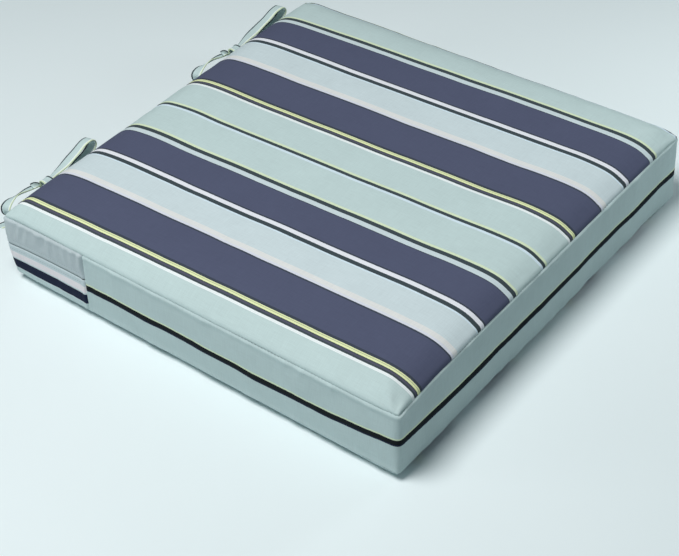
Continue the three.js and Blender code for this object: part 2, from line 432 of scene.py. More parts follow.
# ---- Cloth colours ----
AQUA = (0.530, 0.650, 0.650)
# The top's aqua made darker and tealer for the boxing: painted shade on the boxing's sides.
BOXING_AQUA_WITH_PAINTED_SHADE = (0.505, 0.620, 0.625)
REAR_BLUE = (0.505, 0.575, 0.600)
ROSE = (0.830, 0.790, 0.815)
# The boxing's charcoal line, its own dark colour darkened further to near black as painted shade.
CHARCOAL_WITH_PAINTED_SHADE = (0.008, 0.011, 0.014)
# The boxing's navy band: the top's navy darkened further as painted shade.
NAVY_WITH_PAINTED_SHADE = (0.013, 0.019, 0.045)
LIGHT_BLUE = (0.600, 0.690, 0.720)
NAVY = (0.088, 0.099, 0.163)
CHARCOAL = (0.052, 0.070, 0.080)
PLUM = (0.095, 0.094, 0.135)
DARK_EDGE = (0.052, 0.064, 0.088)
LIME = (0.790, 0.840, 0.480)
LIME_SHADE = (0.520, 0.570, 0.340)
PALE_LIME = (0.680, 0.780, 0.560)
WHITE = (0.830, 0.880, 0.890)
PALE = (0.660, 0.780, 0.860)
ROSE_WHITE = (0.790, 0.800, 0.860)
LAVENDER = (0.690, 0.710, 0.790)
BEIGE = (0.740, 0.745, 0.735)

# Stripes across the cloth, as [colour, width in mm]; they repeat.
STRIPES = [
    [WHITE, 3], [CHARCOAL, 1.5], [PLUM, 2], [CHARCOAL, 1.5], [LIME, 1.6], [LIME_SHADE, 0.8], [LIME, 1.6],
    [DARK_EDGE, 2.5], [NAVY, 45], [DARK_EDGE, 1.5], [LAVENDER, 3], [BEIGE, 6], [LIGHT_BLUE, 32], [PALE, 1.5],
    [CHARCOAL, 5], [ROSE_WHITE, 5.2], [DARK_EDGE, 2.5], [NAVY, 37.8], [DARK_EDGE, 1.5], [LIGHT_BLUE, 6],
    [CHARCOAL, 4.5], [PALE_LIME, 3], [AQUA, 41], [PALE, 2.5], [CHARCOAL, 5], [PALE_LIME, 3], [AQUA, 38.5],
]
FIRST_STRIPE_X = -0.2308
STRIPE_SLANT = 0.021
# Bands up the boxing, from the lower seam, and across a strap, from its front edge.
# The front and lower rear boxing bands use aqua, navy and charcoal darkened as painted shade.
FRONT_BANDS = [[BOXING_AQUA_WITH_PAINTED_SHADE, 31], [NAVY_WITH_PAINTED_SHADE, 1.8], [CHARCOAL_WITH_PAINTED_SHADE, 5.8], [PALE_LIME, 2.2], [BOXING_AQUA_WITH_PAINTED_SHADE, 60]]
REAR_LOWER_BANDS = [
    [BOXING_AQUA_WITH_PAINTED_SHADE, 9], [LIGHT_BLUE, 0.8], [NAVY_WITH_PAINTED_SHADE, 13], [LIGHT_BLUE, 2], [ROSE, 8.5], [LIGHT_BLUE, 40],
]
REAR_UPPER_BANDS = [[REAR_BLUE, 200]]
STRAP_BANDS = [[PALE_LIME, 1.6], [WHITE, 0.9], [AQUA, 8.2], [CHARCOAL, 2.0]]

# ---- Ties: flat straps tied in two bows behind the rear seam ----
STRAP_WIDTH = 12.7 * MM
STRAP_THICKNESS = 1.2 * MM
STRAP_Y = sum(corner.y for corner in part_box("tie_left_b")) / 2
STRAP_STEP = 2 * MM
# How far each bow's loops reach to the left and right of its knot.
BOW_REACH = {"left": (55 * MM, 76 * MM), "right": (63 * MM, 96 * MM)}
# Strap centre lines as [reach along X as a share of the loop's length, height in mm].
LEFT_LOOP = [
    [-0.15, 80.5], [-0.5, 85], [-0.82, 86.5], [-0.98, 81],
    [-0.95, 72.5], [-0.72, 68.5], [-0.4, 69.5], [-0.05, 72.5],
]
RIGHT_LOOP = [
    [0.15, 80], [0.4, 84], [0.65, 89.5], [0.84, 94.5], [0.96, 93.5],
    [0.99, 87], [0.88, 80], [0.66, 75], [0.4, 70], [0.13, 65],
]
LOOSE_END = [[-0.25, 61.5], [-0.72, 60.5], [-1.05, 62.5], [-1.23, 66]]
KNOT_Z = 66 * MM
# A strap is bunched within the first distance from the knot, and has spread out after the second.
BUNCHED = 9 * MM
SPREADING = 40 * MM
# Waves along the straps: their lean and their sideways drift.
CRINKLE_LEAN = math.radians(7)
CRINKLE_DRIFT = 0.7 * MM
# How far each kind of loop leans over, going out from the knot and coming back.
LEAN_LEFT = (math.radians(42), math.radians(-20))
LEAN_RIGHT = (math.radians(-12), math.radians(12))
# A strap's section: places across as shares of its half width, and its thickness there as a share.
SECTION = [
    [-1, 0.45], [-0.95, 1], [-0.84, 1.05], [-0.76, 0.72], [-0.66, 0.95], [-0.35, 0.9], [0, 0.9],
    [0.35, 0.9], [0.66, 0.95], [0.76, 0.72], [0.84, 1.05], [0.95, 1], [1, 0.45],
]


def ribbon(name, line, across, width, thickness, narrow=1.0, cup=0.0, closed=False):
    """A flat strap along a line. narrow scales its width and cup bows it, at each point of the line."""
    along = directions(line, closed)
    across = np.broadcast_to(np.asarray(across, float), line.shape)
    across = unit(across - along * (across * along).sum(1, keepdims=True))
    out = np.cross(along, across)
    share, thick = np.array(SECTION).T
    u = np.concatenate([share, share[::-1]])
    v = np.concatenate([thick, -thick[::-1]])
    narrow = np.broadcast_to(narrow, len(line))[:, None]
    cup = np.broadcast_to(cup, len(line))[:, None]
    sideways = u * width / 2 * narrow
    height = v * thickness / 2 + cup * (0.5 - u * u)
    points = line[:, None] + across[:, None] * sideways[..., None] + out[:, None] * height[..., None]
    loop = np.concatenate([line, line[:1]]) if closed else line
    run = distances(loop)[: len(line)]
    cloth = np.zeros_like(points)
    cloth[..., 0] = run[:, None]
    cloth[..., 1] = (u * width / 2)[None, :]
    return new_object(name, points.reshape(-1, 3), skin(len(line), len(u), closed), cloth.reshape(-1, 3))


def strap_line(knot_x, root, *stretches):
    """A strap's centre line from its root through the loops and ends that it makes."""
    points = [[knot_x + root[0] * MM, STRAP_Y, root[1] * MM]]
    for shares, reach in stretches:
        points += [[knot_x + share * reach, STRAP_Y, z * MM] for share, z in shares]
    return curve_through(np.array(points), STRAP_STEP)


def strap(name, line, knot_x, lean_out, lean_back, crinkle):
    """A strap that is bunched at the knot and leans over, by one angle going out and another coming back."""
    from_knot = np.hypot(line[:, 0] - knot_x, line[:, 2] - KNOT_Z)
    loose = ease((from_knot - BUNCHED) / SPREADING)
    run = distances(line)
    share = run / run[-1]
    tilt = loose * (lean_out * hump(share, 0.25, 0.14) + lean_back * hump(share, 0.6, 0.14))
    tilt = tilt + CRINKLE_LEAN * smooth_noise(run, 0 * run, 26 * MM, crinkle)
    up = np.cross(directions(line), (0, 1, 0))
    across = np.array((0, 1, 0)) * np.cos(tilt)[:, None] + up * np.sin(tilt)[:, None]
    line = line + up * (CRINKLE_DRIFT * smooth_noise(run, 0 * run, 19 * MM, crinkle + 1))[:, None]
    made = ribbon(
        name, line, across, STRAP_WIDTH, STRAP_THICKNESS,
        narrow=0.42 + 0.58 * loose,
        cup=(0.4 + 2.0 * (1 - loose)) * MM,
    )
    return made, line


def knot_wraps(name, knot_x):
    """Two turns of strap pulled tight round the bow's legs, crossing each other."""
    turns = []
    for depth, height, lean, phase, width in ((6.8, 9.0, 2.6, 0.0, 9.5), (5.5, 7.8, -3.4, 0.7, 10.5)):
        angle = circle_angles(48)
        pinch = 1 + 0.05 * np.sin(3 * angle + phase)
        line = np.stack([
            knot_x + lean * MM * np.sin(angle + phase),
            STRAP_Y - 0.4 * MM + depth * MM * np.cos(angle) * pinch,
            KNOT_Z + height * MM * np.sin(angle) * pinch,
        ], 1)
        cup = 0.9 * MM * np.sin(2 * angle + phase)
        turns.append(ribbon(
            "wrap", line, (1, 0, 0.12), width * MM, 1.4 * STRAP_THICKNESS,
            narrow=1 + 0.10 * np.sin(2 * angle + 1.1), cup=cup, closed=True,
        ))
    return joined(name, turns)


# The sewn end of the straps, from the rear seam over into the knot, and the short end that pokes out of it:
# line in mm (in plan from the knot), step, direction across, layers, widths at both ends, cup in mm.
ROOT = (
    [[0, -13.6, 84.6], [0, -9.6, 86.6], [0, -4.6, 86.9], [0, -1.4, 84.6], [0, -0.4, 79]],
    1.2 * MM, (1, 0, 0), 1.6, (1, 0.7), 0.6,
)
TAIL = (
    [[0, 1.2, 73], [-4, 0.6, 78.6], [-8, 0, 82.2], [-12, -0.4, 84.4], [-15, -0.2, 84.6]],
    1.5 * MM, (0.1, 1, 0.45), 1.0, (0.5, 0.6), 1.6,
)


def strap_end(name, knot_x, points, step, across, layers, widths, cup):
    line = curve_through(np.array(points) * MM + (knot_x, STRAP_Y, 0), step)
    share = distances(line) / distances(line)[-1]
    narrow = widths[0] + (widths[1] - widths[0]) * share
    return ribbon(name, line, across, STRAP_WIDTH, layers * STRAP_THICKNESS, narrow=narrow, cup=cup * MM)


def add_bow(side, strap_cloth, crinkle):
    body = "tie_" + side
    knot_x = JOINT_PLACE[body + "_lift"][0]
    left_reach, right_reach = BOW_REACH[side]
    first_line = strap_line(knot_x, (-5, 79.5), (LEFT_LOOP, left_reach))
    second_line = strap_line(knot_x, (7.3, 79), (RIGHT_LOOP, right_reach), (LOOSE_END, left_reach))
    first, first_line = strap(body + "_strap_a", first_line, knot_x, *LEAN_LEFT, crinkle)
    second, second_line = strap(body + "_strap_b", second_line, knot_x, *LEAN_RIGHT, crinkle + 5)
    extras = [knot_wraps(body + "_knot", knot_x)]
    extras += [strap_end(body + end, knot_x, *shape) for end, shape in (("_root", ROOT), ("_tail", TAIL))]
    keep(first, body, "tie_fabric", strap_cloth, body + "_a")
    keep(second, body, "tie_fabric", strap_cloth, body + "_b")
    for extra in extras:
        keep(extra, body, "tie_fabric", strap_cloth)


strap_cloth = banded_cloth("strap_cloth", STRAP_BANDS, 1, -STRAP_WIDTH / 2, 0.1 * MM, 30 * MM)
add_bow("left", strap_cloth, 41)
add_bow("right", strap_cloth, 61)


# ---- The sewn cover before it is filled: one closed net of quads ----
CELLS_X, CELLS_Y, CELLS_Z = 84, 86, 13
SEAM_CORNER = 3.5 * MM
BODY_CORNER = 8.5 * MM
CORNER_DIP = 1.5 * MM
CORNER_SWELL = 3.5 * MM
CORNER_SLOUCH = 3.2 * MM
CORNER_DROOP = 4 * MM
CROWN_RUN = 30 * MM
UNDERSIDE_RUN = 26 * MM
# How roundly a panel rises from its seam: 1 is a straight ramp.
ROUNDNESS = 2.7


def plan_point(s, t, radius, inset=0.0):
    """Place in plan of a point of the square s, t (each -1 to 1), with the square's corners rounded."""
    half_x, half_y = HALF_X - inset, HALF_Y - inset
    x, y = s * half_x, t * half_y
    past_x = np.abs(x) - (half_x - radius)
    past_y = np.abs(y) - (half_y - radius)
    corner = (past_x > 0) & (past_y > 0)
    pull = np.maximum(past_x, past_y) / np.maximum(np.hypot(past_x, past_y), 1e-9)
    x = np.where(corner, np.sign(x) * (half_x - radius + past_x * pull), x)
    y = np.where(corner, np.sign(y) * (half_y - radius + past_y * pull), y)
    return x, y


def shoulder(distance, run):
    """How far a panel has risen at a distance in from its seam, 0 to 1."""
    return 1 - (1 - np.clip(distance / run, 0, 1)) ** ROUNDNESS


def insets(s, t):
    """Distances in from the sides and from the front or rear, for points of the square s, t."""
    return (1 - np.abs(s)) * HALF_X, (1 - np.abs(t)) * HALF_Y


def net_shape(cells):
    """Rest place of every net point, from its (i, j, k) cell numbers."""
    s = 2 * cells[:, 0] / CELLS_X - 1
    t = 2 * cells[:, 1] / CELLS_Y - 1
    level = cells[:, 2] / CELLS_Z
    belly = 4 * level * (1 - level)
    x, y = plan_point(s, t, SEAM_CORNER + (BODY_CORNER - SEAM_CORNER) * belly)
    corner = np.abs(s * t) ** 8
    swell = CORNER_SWELL * np.where((s < 0) & (t > 0), corner, 0.35 * corner) * belly
    slouch = CORNER_SLOUCH * np.where((s < 0) & (t < 0), corner, 0) * level
    x = x + np.sign(s) * swell + slouch
    y = y + np.sign(t) * swell * np.abs(s) ** 12 - slouch
    dip = CORNER_DIP * corner
    high = UPPER_SEAM_Z - dip
    low = LOWER_SEAM_Z + 0.4 * dip - CORNER_DROOP * np.where((s > 0) & (t < 0), corner, 0)
    z = low + (high - low) * level
    in_x, in_y = insets(s, t)
    crown = shoulder(in_x, CROWN_RUN) * shoulder(in_y, CROWN_RUN)
    flat = shoulder(in_x, UNDERSIDE_RUN) * shoulder(in_y, UNDERSIDE_RUN)
    z = np.where(level == 1, high + (CROWN_Z - UPPER_SEAM_Z) * crown, z)
    z = np.where(level == 0, low * (1 - flat), z)
    return np.stack([x, y, z], 1), s, t, level


def perimeter_cells():
    """(i, j) of the boxing's columns, anticlockwise from the middle of the front."""
    front = [(i, 0) for i in range(CELLS_X)]
    right = [(CELLS_X, j) for j in range(CELLS_Y)]
    rear = [(i, CELLS_Y) for i in range(CELLS_X, 0, -1)]
    left = [(0, j) for j in range(CELLS_Y, 0, -1)]
    half = CELLS_X // 2
    return front[half:] + right + rear + left + front[:half]


RING = perimeter_cells()


def build_net():
    number = {}
    for k in range(CELLS_Z + 1):
        for j in range(CELLS_Y + 1):
            for i in range(CELLS_X + 1):
                if i in (0, CELLS_X) or j in (0, CELLS_Y) or k in (0, CELLS_Z):
                    number[i, j, k] = len(number)
    faces = []
    quad = lambda *corners: faces.append([number[c] for c in corners])
    for j in range(CELLS_Y):
        for i in range(CELLS_X):
            quad((i, j, CELLS_Z), (i + 1, j, CELLS_Z), (i + 1, j + 1, CELLS_Z), (i, j + 1, CELLS_Z))
            quad((i, j, 0), (i, j + 1, 0), (i + 1, j + 1, 0), (i + 1, j, 0))
    for k in range(CELLS_Z):
        for (a, b), (c, d) in zip(RING, RING[1:] + RING[:1]):
            quad((a, b, k), (c, d, k), (c, d, k + 1), (a, b, k + 1))
    return number, np.array(faces)


def point_normals(points, faces):
    corner = points[faces]
    normals = unit(np.cross(corner[:, 2] - corner[:, 0], corner[:, 3] - corner[:, 1]))
    total = np.zeros_like(points)
    for side in range(4):
        np.add.at(total, faces[:, side], normals)
    return unit(total)


# ---- Filling the cover: cloth under pressure, held at its seams ----
SWELL_LIMIT = 7 * MM
SIM_FRAMES = 20
TOP_HOLD, BOXING_HOLD, RIGHT_SIDE_HOLD, UNDERSIDE_HOLD = 0.13, 0.06, 0.3, 0.30
ZIP_ROWS = range(6, 9)


def inflate(points, faces, hold, slack):
    """The net after Blender's cloth has swelled it.

    hold is how firmly each point keeps its place, and slack how much of the spare cloth it has.
    """
    net = new_object("net", points, faces)
    for name, weights in (("hold", hold), ("slack", slack)):
        group = net.vertex_groups.new(name=name)
        for value in np.unique(weights):
            group.add(np.where(weights == value)[0].tolist(), float(value), "REPLACE")
    cloth = net.modifiers.new("cloth", "CLOTH")
    settings = cloth.settings
    settings.quality = 5
    settings.mass = 0.3
    settings.tension_stiffness = 15
    settings.compression_stiffness = 15
    settings.shear_stiffness = 5
    settings.bending_stiffness = 1.5
    settings.use_pressure = True
    settings.uniform_pressure_force = 4
    settings.vertex_group_mass = "hold"
    settings.pin_stiffness = 1
    settings.vertex_group_shrink = "slack"
    settings.shrink_min = 0
    settings.shrink_max = -0.02
    settings.effector_weights.gravity = 0
    cloth.collision_settings.use_collision = False
    cloth.point_cache.frame_start = 1
    cloth.point_cache.frame_end = SIM_FRAMES
    for step in range(1, SIM_FRAMES + 1):
        bpy.context.scene.frame_set(step)
    swelled = net.evaluated_get(bpy.context.evaluated_depsgraph_get())
    result = np.zeros(len(points) * 3, np.float32)
    swelled.data.vertices.foreach_get("co", result)
    bpy.data.objects.remove(net)
    bpy.context.scene.frame_set(1)
    return result.reshape(-1, 3).astype(float)


def hold_weights(cells, s, t, level):
    on_side = (np.abs(s) == 1) | (np.abs(t) == 1)
    seam = on_side & ((level == 0) | (level == 1))
    rear = (cells[:, 1] == CELLS_Y) | (on_side & (t * HALF_Y > VERTICAL_SEAM_Y))
    zip_band = rear & np.isin(cells[:, 2], list(ZIP_ROWS))
    inside = np.minimum(*insets(s, t))
    hold = np.where(level == 1, TOP_HOLD, np.where(level == 0, UNDERSIDE_HOLD, BOXING_HOLD))
    hold = np.where((s == 1) & on_side, RIGHT_SIDE_HOLD, hold)
    hold[seam | zip_band | ((level == 0) & (inside > UNDERSIDE_RUN))] = 1.0
    slack = np.where(on_side & ~seam & ~zip_band, 1.0, 0.0)
    return hold, slack


def filled_net():
    number, faces = build_net()
    cells = np.array(sorted(number, key=number.get))
    rest, s, t, level = net_shape(cells)
    hold, slack = hold_weights(cells, s, t, level)
    points = inflate(rest, faces, hold, slack)
    move = points - rest
    far = np.linalg.norm(move, axis=1, keepdims=True)
    points = rest + move * np.minimum(1, SWELL_LIMIT / np.maximum(far, 1e-9))
    points[:, 2] = np.maximum(points[:, 2], 0)
    return number, faces, points


NET_NUMBER, NET_FACES, NET_POINTS = filled_net()
NET_NORMALS = point_normals(NET_POINTS, NET_FACES)


def net_grid(level):
    """Point numbers of the net's top (level CELLS_Z) or bottom (0): rows along Y of columns along X."""
    return np.array([[NET_NUMBER[i, j, level] for i in range(CELLS_X + 1)] for j in range(CELLS_Y + 1)])


RING_GRID = np.array([[NET_NUMBER[i, j, k] for i, j in RING] for k in range(CELLS_Z + 1)])


def grid_sample(values, rows, columns):
    """Values of a grid at fractional rows and columns."""
    by_row = resample(values, rows)
    return np.swapaxes(resample(np.swapaxes(by_row, 0, 1), columns), 0, 1)


def ring_distances():
    """Distance along the outline at each boxing column, from the middle of the front, and its outline."""
    s = np.array([2 * i / CELLS_X - 1 for i, j in RING])
    t = np.array([2 * j / CELLS_Y - 1 for i, j in RING])
    outline = np.stack(plan_point(s, t, BODY_CORNER), 1)
    return distances(np.concatenate([outline, outline[:1]])), outline


RING_AT, RING_OUTLINE = ring_distances()
GIRTH = RING_AT[-1]


def ring_column(distance):
    """Fractional boxing column at a distance along the outline; it may pass the girth."""
    turns = np.floor(np.asarray(distance) / GIRTH)
    part = np.asarray(distance) - turns * GIRTH
    return turns * len(RING) + np.interp(part, RING_AT, np.arange(len(RING) + 1))


def seam_distances():
    """Distances along the outline of the right and left vertical seams."""
    past_seam = (i == CELLS_X and y >= VERTICAL_SEAM_Y for (i, _), (_, y) in zip(RING, RING_OUTLINE))
    column = list(past_seam).index(True)
    right = RING_AT[column] - (RING_OUTLINE[column, 1] - VERTICAL_SEAM_Y)
    return right, GIRTH - right


RIGHT_SEAM, LEFT_SEAM = seam_distances()
ZIP_RISE = ZIP_Z - LOWER_SEAM_Z
FRONT_LEFT = GIRTH - HALF_X
# How much higher the boxing's line runs at the front left corner.
LINE_LIFT = 6.5 * MM
LINE_LIFT_REACH = 65 * MM
# How far round the outline the boxing's cloth has crept at its upper seam.
SEAM_LEAN = 6 * MM


def boxing_places(along, up):
    """Points and normals of the boxing at distances along the outline and heights above the lower seam."""
    share = np.asarray(up) / BOXING_HEIGHT
    columns = [ring_column(np.asarray(along) + SEAM_LEAN * height) for height in share]
    points, normals = (
        [resample(row, at, closed=True) for row, at in zip(resample(values, share * CELLS_Z), columns)]
        for values in (NET_POINTS[RING_GRID], NET_NORMALS[RING_GRID])
    )
    return np.stack(points), unit(np.stack(normals))


# ---- Cover panels ----
CLOTH = 0.8 * MM
ALLOWANCE = 7 * MM
HEM = 0.5 * MM
FINE = 3 * MM
NEAR_SEAM = [0, 0.7, 1.4, 2.2, 3.2, 4.4, 6.0]
SLIT = 1.8 * MM
ZIP_STITCH = 5.5 * MM


def spaced(length, step=FINE):
    """Distances from 0 to length, close together near both ends."""
    near = [d * MM for d in NEAR_SEAM]
    inner = length - 2 * near[-1]
    middle = near[-1] + inner * np.linspace(0, 1, max(2, round(inner / step)) + 1)
    return np.concatenate([near[:-1], middle, [length - d for d in near[:-1]][::-1]])


SEAM_DEPTH = 1.3 * MM
# About how far apart the boxing's soft upright folds are.
PLEAT = 11 * MM
# How far above the zip's stitches the boxing's softness sets in.
SOFT_RUN = 15 * MM


def seam_profile(distance):
    """Height of sewn cloth beside a seam: pulled in at the stitches, with a soft ridge beside it."""
    return 0.6 * MM * hump(distance, 3.6 * MM, 2.0 * MM) - SEAM_DEPTH * hump(distance, 0, 1.2 * MM)


def fold_profile(distance):
    """Height of cloth beside the zip slit: a turned edge, and a stitched line beside it."""
    return -0.30 * MM * (hump(distance, 0, 0.7 * MM) + hump(distance, ZIP_STITCH, 0.9 * MM))


def gathers(along, distance, seed, height, size=11 * MM, reach=13 * MM):
    """Small puckers that run away from a seam and die out."""
    wave = smooth_noise(along, np.zeros_like(along), size, seed)
    return height * wave * np.exp(-distance / reach) * (1 - np.exp(-distance / (1.5 * MM)))


def border(rows, columns):
    """Point numbers round a grid's edge, anticlockwise in its own rows and columns."""
    number = np.arange(rows * columns).reshape(rows, columns)
    return np.concatenate([number[0, :-1], number[:-1, -1], number[-1, :0:-1], number[:0:-1, 0]])


def sewn_panel(name, points, normals, cloth, low_turn=ALLOWANCE, high_turn=ALLOWANCE):
    """A grid of cloth with its edges turned inwards as seam allowances, given a thickness."""
    rows, columns = points.shape[:2]
    flat, out, cloth = (grid.reshape(-1, 3) for grid in (points, normals, cloth))
    faces = [grid_faces(rows, columns)]
    edge = border(rows, columns)
    turns = (low_turn, ALLOWANCE, high_turn, ALLOWANCE)
    turn_in = np.repeat(turns, (columns - 1, rows - 1, columns - 1, rows - 1))[:, None]
    extra, extra_cloth = [flat], [cloth]
    previous = edge
    for turn, share in enumerate((0.35, 1.0)):
        extra.append(flat[edge] - out[edge] * turn_in * share)
        extra_cloth.append(cloth[edge])
        ring = len(flat) + turn * len(edge) + np.arange(len(edge))
        faces.append(hoop_faces(ring, previous))
        previous = ring
    made = new_object(name, *(np.concatenate(rows) for rows in (extra, faces, extra_cloth)))
    thick = made.modifiers.new("thick", "SOLIDIFY")
    thick.thickness = CLOTH
    thick.offset = -1
    return apply_modifiers(made)


def corner_folds(x, y):
    """Soft folds that fan out from each corner, strongest at the front left one."""
    total = 0 * x
    for sx, sy, depth, turn in ((-1, -1, 1.0, 0.4), (1, -1, 1.0, 1.3), (-1, 1, 0.9, 2.1), (1, 1, 0.9, 3.0)):
        dx, dy = HALF_X - sx * x, HALF_Y - sy * y
        away = np.hypot(dx, dy)
        fade = np.clip(away / (12 * MM), 0, 1) * np.exp(-away / (38 * MM))
        total = total + depth * MM * np.sin(9 * np.arctan2(dy, dx) + turn) * fade
    return total


def flat_panel(name, level):
    """The top panel (level CELLS_Z) or the bottom panel (level 0)."""
    lifted = level == CELLS_Z
    across, along = spaced(2 * HALF_X), spaced(2 * HALF_Y)
    rows, columns = along / (2 * HALF_Y) * CELLS_Y, across / (2 * HALF_X) * CELLS_X
    points = grid_sample(NET_POINTS[net_grid(level)], rows, columns)
    normals = unit(grid_sample(NET_NORMALS[net_grid(level)], rows, columns))
    x, y = points[..., 0], points[..., 1]
    in_x = np.minimum(across, across[::-1])[None, :] + 0 * x
    in_y = np.minimum(along, along[::-1])[:, None] + 0 * x
    inside = np.minimum(in_x, in_y)
    height = seam_profile(inside)
    if lifted:
        height += gathers(np.where(in_x < in_y, y, x), inside, 3, 0.5 * MM)
        height += 0.5 * MM * smooth_noise(x, y, 70 * MM, 11) + 0.2 * MM * smooth_noise(x, y, 28 * MM, 12)
        height += corner_folds(x, y)
    points = points + normals * height[..., None]
    if not lifted:
        points[..., 2] = np.maximum(points[..., 2], 0)
    middle = points[len(along) // 2]
    run = distances(middle)
    cloth_x = np.interp(x, middle[:, 0], run - run[len(across) // 2])
    cloth = np.stack([cloth_x, y, 0 * x], -1)
    if not lifted:
        points, normals, cloth = points[:, ::-1], normals[:, ::-1], cloth[:, ::-1]
    return sewn_panel(name, points, normals, cloth)


def boxing_panel(name, start, end, low, high, low_edge, high_edge, puckers, folds):
    """A strip of boxing from one distance along the outline to another, between two heights."""
    along = start + spaced(end - start, 2 * MM)
    up = low + spaced(high - low)
    points, normals = boxing_places(along, up)
    run = along[None, :] + 0 * points[..., 0]
    rise = up[:, None] + 0 * run
    from_low, from_high = rise - low, high - rise
    from_ends = np.minimum(run - start, end - run)
    height = low_edge(from_low) + high_edge(from_high) + seam_profile(from_ends)
    soft = 1.0
    for edge, distance, seed in ((low_edge, from_low, 21), (high_edge, from_high, 22)):
        if edge is seam_profile:
            height += gathers(run, distance, seed + int(1000 * low), puckers)
        else:
            soft = ease((distance - ZIP_STITCH) / SOFT_RUN)
    height += soft * 0.6 * puckers * smooth_noise(run, rise, 34 * MM, 25)
    wander = 5 * smooth_noise(run, 0.4 * rise, 25 * MM, 27)
    pleat = np.sin(2 * math.pi * run / PLEAT + wander) * (0.5 + 0.5 * smooth_noise(run, rise, 18 * MM, 28))
    height += soft * folds * pleat * (1 - np.exp(-from_high / (5 * MM)))
    points = points + normals * height[..., None]
    lift = LINE_LIFT * hump(run, FRONT_LEFT, LINE_LIFT_REACH)
    return sewn_panel(
        name, points, normals, np.stack([run, rise - lift, 0 * run], -1),
        low_turn=HEM if low_edge is fold_profile else ALLOWANCE,
        high_turn=HEM if high_edge is fold_profile else ALLOWANCE,
    )


def add_cover():
    striped = banded_cloth(
        "striped_cloth", STRIPES, 0, FIRST_STRIPE_X, 0.7 * MM, 60 * MM, repeat=True, slant=STRIPE_SLANT
    )
    panels = [
        (flat_panel("cover_top", CELLS_Z), "top_panel", "striped_fabric", striped),
        (flat_panel("cover_bottom", 0), "bottom_panel", "striped_fabric", striped),
    ]
    slit = ZIP_RISE - SLIT / 2, ZIP_RISE + SLIT / 2
    # For each strip: bands, how far and how often they waver, ends, heights, edges, pucker and fold depths.
    strips = (
        ("front", FRONT_BANDS, 2.2, 50, LEFT_SEAM, RIGHT_SEAM + GIRTH, 0, BOXING_HEIGHT,
         seam_profile, seam_profile, 0.9, 0.12),
        ("rear_upper", REAR_UPPER_BANDS, 1.0, 45, RIGHT_SEAM, LEFT_SEAM, slit[1], BOXING_HEIGHT,
         fold_profile, seam_profile, 0.9, 2.0),
        ("rear_lower", REAR_LOWER_BANDS, 1.0, 45, RIGHT_SEAM, LEFT_SEAM, 0, slit[0],
         seam_profile, fold_profile, 0.8, 0.12),
    )
    nodes = ("front_boxing", "rear_boxing_upper", "rear_boxing_lower")
    for node, (place, bands, waver, waver_size, *shape, puckers, folds) in zip(nodes, strips):
        cloth = banded_cloth("boxing_cloth_" + place, bands, 1, 0, waver * MM, waver_size * MM)
        strip = boxing_panel("cover_boxing_" + place, *shape, puckers * MM, folds * MM)
        panels.append((strip, node, "boxing_fabric", cloth))
    for panel, node, slot, material in panels:
        keep(panel, "cushion", slot, material, node)


add_cover()

# ---- Filling: a foam block between two layers of fibre ----
FOAM_INSET = 9 * MM
FIBRE_INSET = 8.5 * MM
FILLING_CORNER = BODY_CORNER - 4 * MM
# How far the upper fibre's rim may hang down beside the foam.
FIBRE_OVERLAP = 4 * MM


def filling_block(name, inset, upper, lower, easing):
    """A closed slab inside the cover; upper and lower give its heights from the cover's top and bottom."""
    across, along = np.linspace(-1, 1, 85), np.linspace(-1, 1, 87)
    s, t = np.meshgrid(across, along)
    x, y = plan_point(s, t, FILLING_CORNER, inset)
    rows = (along * (1 - inset / HALF_Y) + 1) / 2 * CELLS_Y
    columns = (across * (1 - inset / HALF_X) + 1) / 2 * CELLS_X
    top = upper(grid_sample(NET_POINTS[net_grid(CELLS_Z)][..., 2], rows, columns))
    bottom = lower(grid_sample(NET_POINTS[net_grid(0)][..., 2], rows, columns))
    round_off = easing * (1 - shoulder(np.minimum(*insets(s, t)), 3 * easing))
    top, bottom = top - round_off, bottom + round_off
    rim = border(*s.shape)
    low, high = (np.stack([x, y, z], -1).reshape(-1, 3) for z in (bottom, top))
    walls = [low[rim] + (high[rim] - low[rim]) * share for share in (0.2, 0.4, 0.6, 0.8)]
    slab = grid_faces(*s.shape)
    between = 2 * s.size + np.arange(len(walls) * len(rim)).reshape(len(walls), -1)
    rings = [rim, *between, s.size + rim]
    faces = [slab[:, [0, 3, 2, 1]], s.size + slab]
    faces += [hoop_faces(below, above) for below, above in zip(rings, rings[1:])]
    return new_object(name, np.concatenate([low, high, *walls]), np.concatenate(faces))


def foam_material():
    nodes = Nodes("foam")
    place = nodes.place()
    pores = nodes.add("ShaderNodeTexVoronoi", Vector=place, Scale=900).outputs["Distance"]
    tone = nodes.noise(place, 35, 3)
    colour = nodes.ramp(tone, [(0.3, (0.86, 0.80, 0.62)), (0.7, (0.92, 0.88, 0.74))])
    # The pores' darker centres, where the bump dips into pits, are painted shade.
    shade = nodes.ramp(pores, [(0, (0.55, 0.5, 0.4)), (0.35, (1, 1, 1))])
    nodes.base(nodes.mix("MULTIPLY", 0.5, colour, shade))
    nodes.bump(pores, 0.6, 0.4 * MM)
    nodes.set(Roughness=0.95, Specular_IOR_Level=0.15, Sheen_Weight=0.1)
    return nodes.material


def fibre_material():
    nodes = Nodes("fibre")
    place = nodes.place()
    wave = {"Scale": 90, "Distortion": 22, "Detail": 3, "Detail_Scale": 2.5}
    strands = nodes.add("ShaderNodeTexWave", Vector=place, **wave)
    tone = nodes.noise(place, 60, 4)
    nodes.base(nodes.ramp(tone, [(0.3, (0.86, 0.86, 0.84)), (0.7, (0.95, 0.95, 0.94))]))
    nodes.bump(nodes.total(strands.outputs["Fac"], tone), 0.5, 0.6 * MM)
    nodes.set(Roughness=0.9, Specular_IOR_Level=0.2, Sheen_Weight=0.4, Sheen_Roughness=0.4)
    return nodes.material


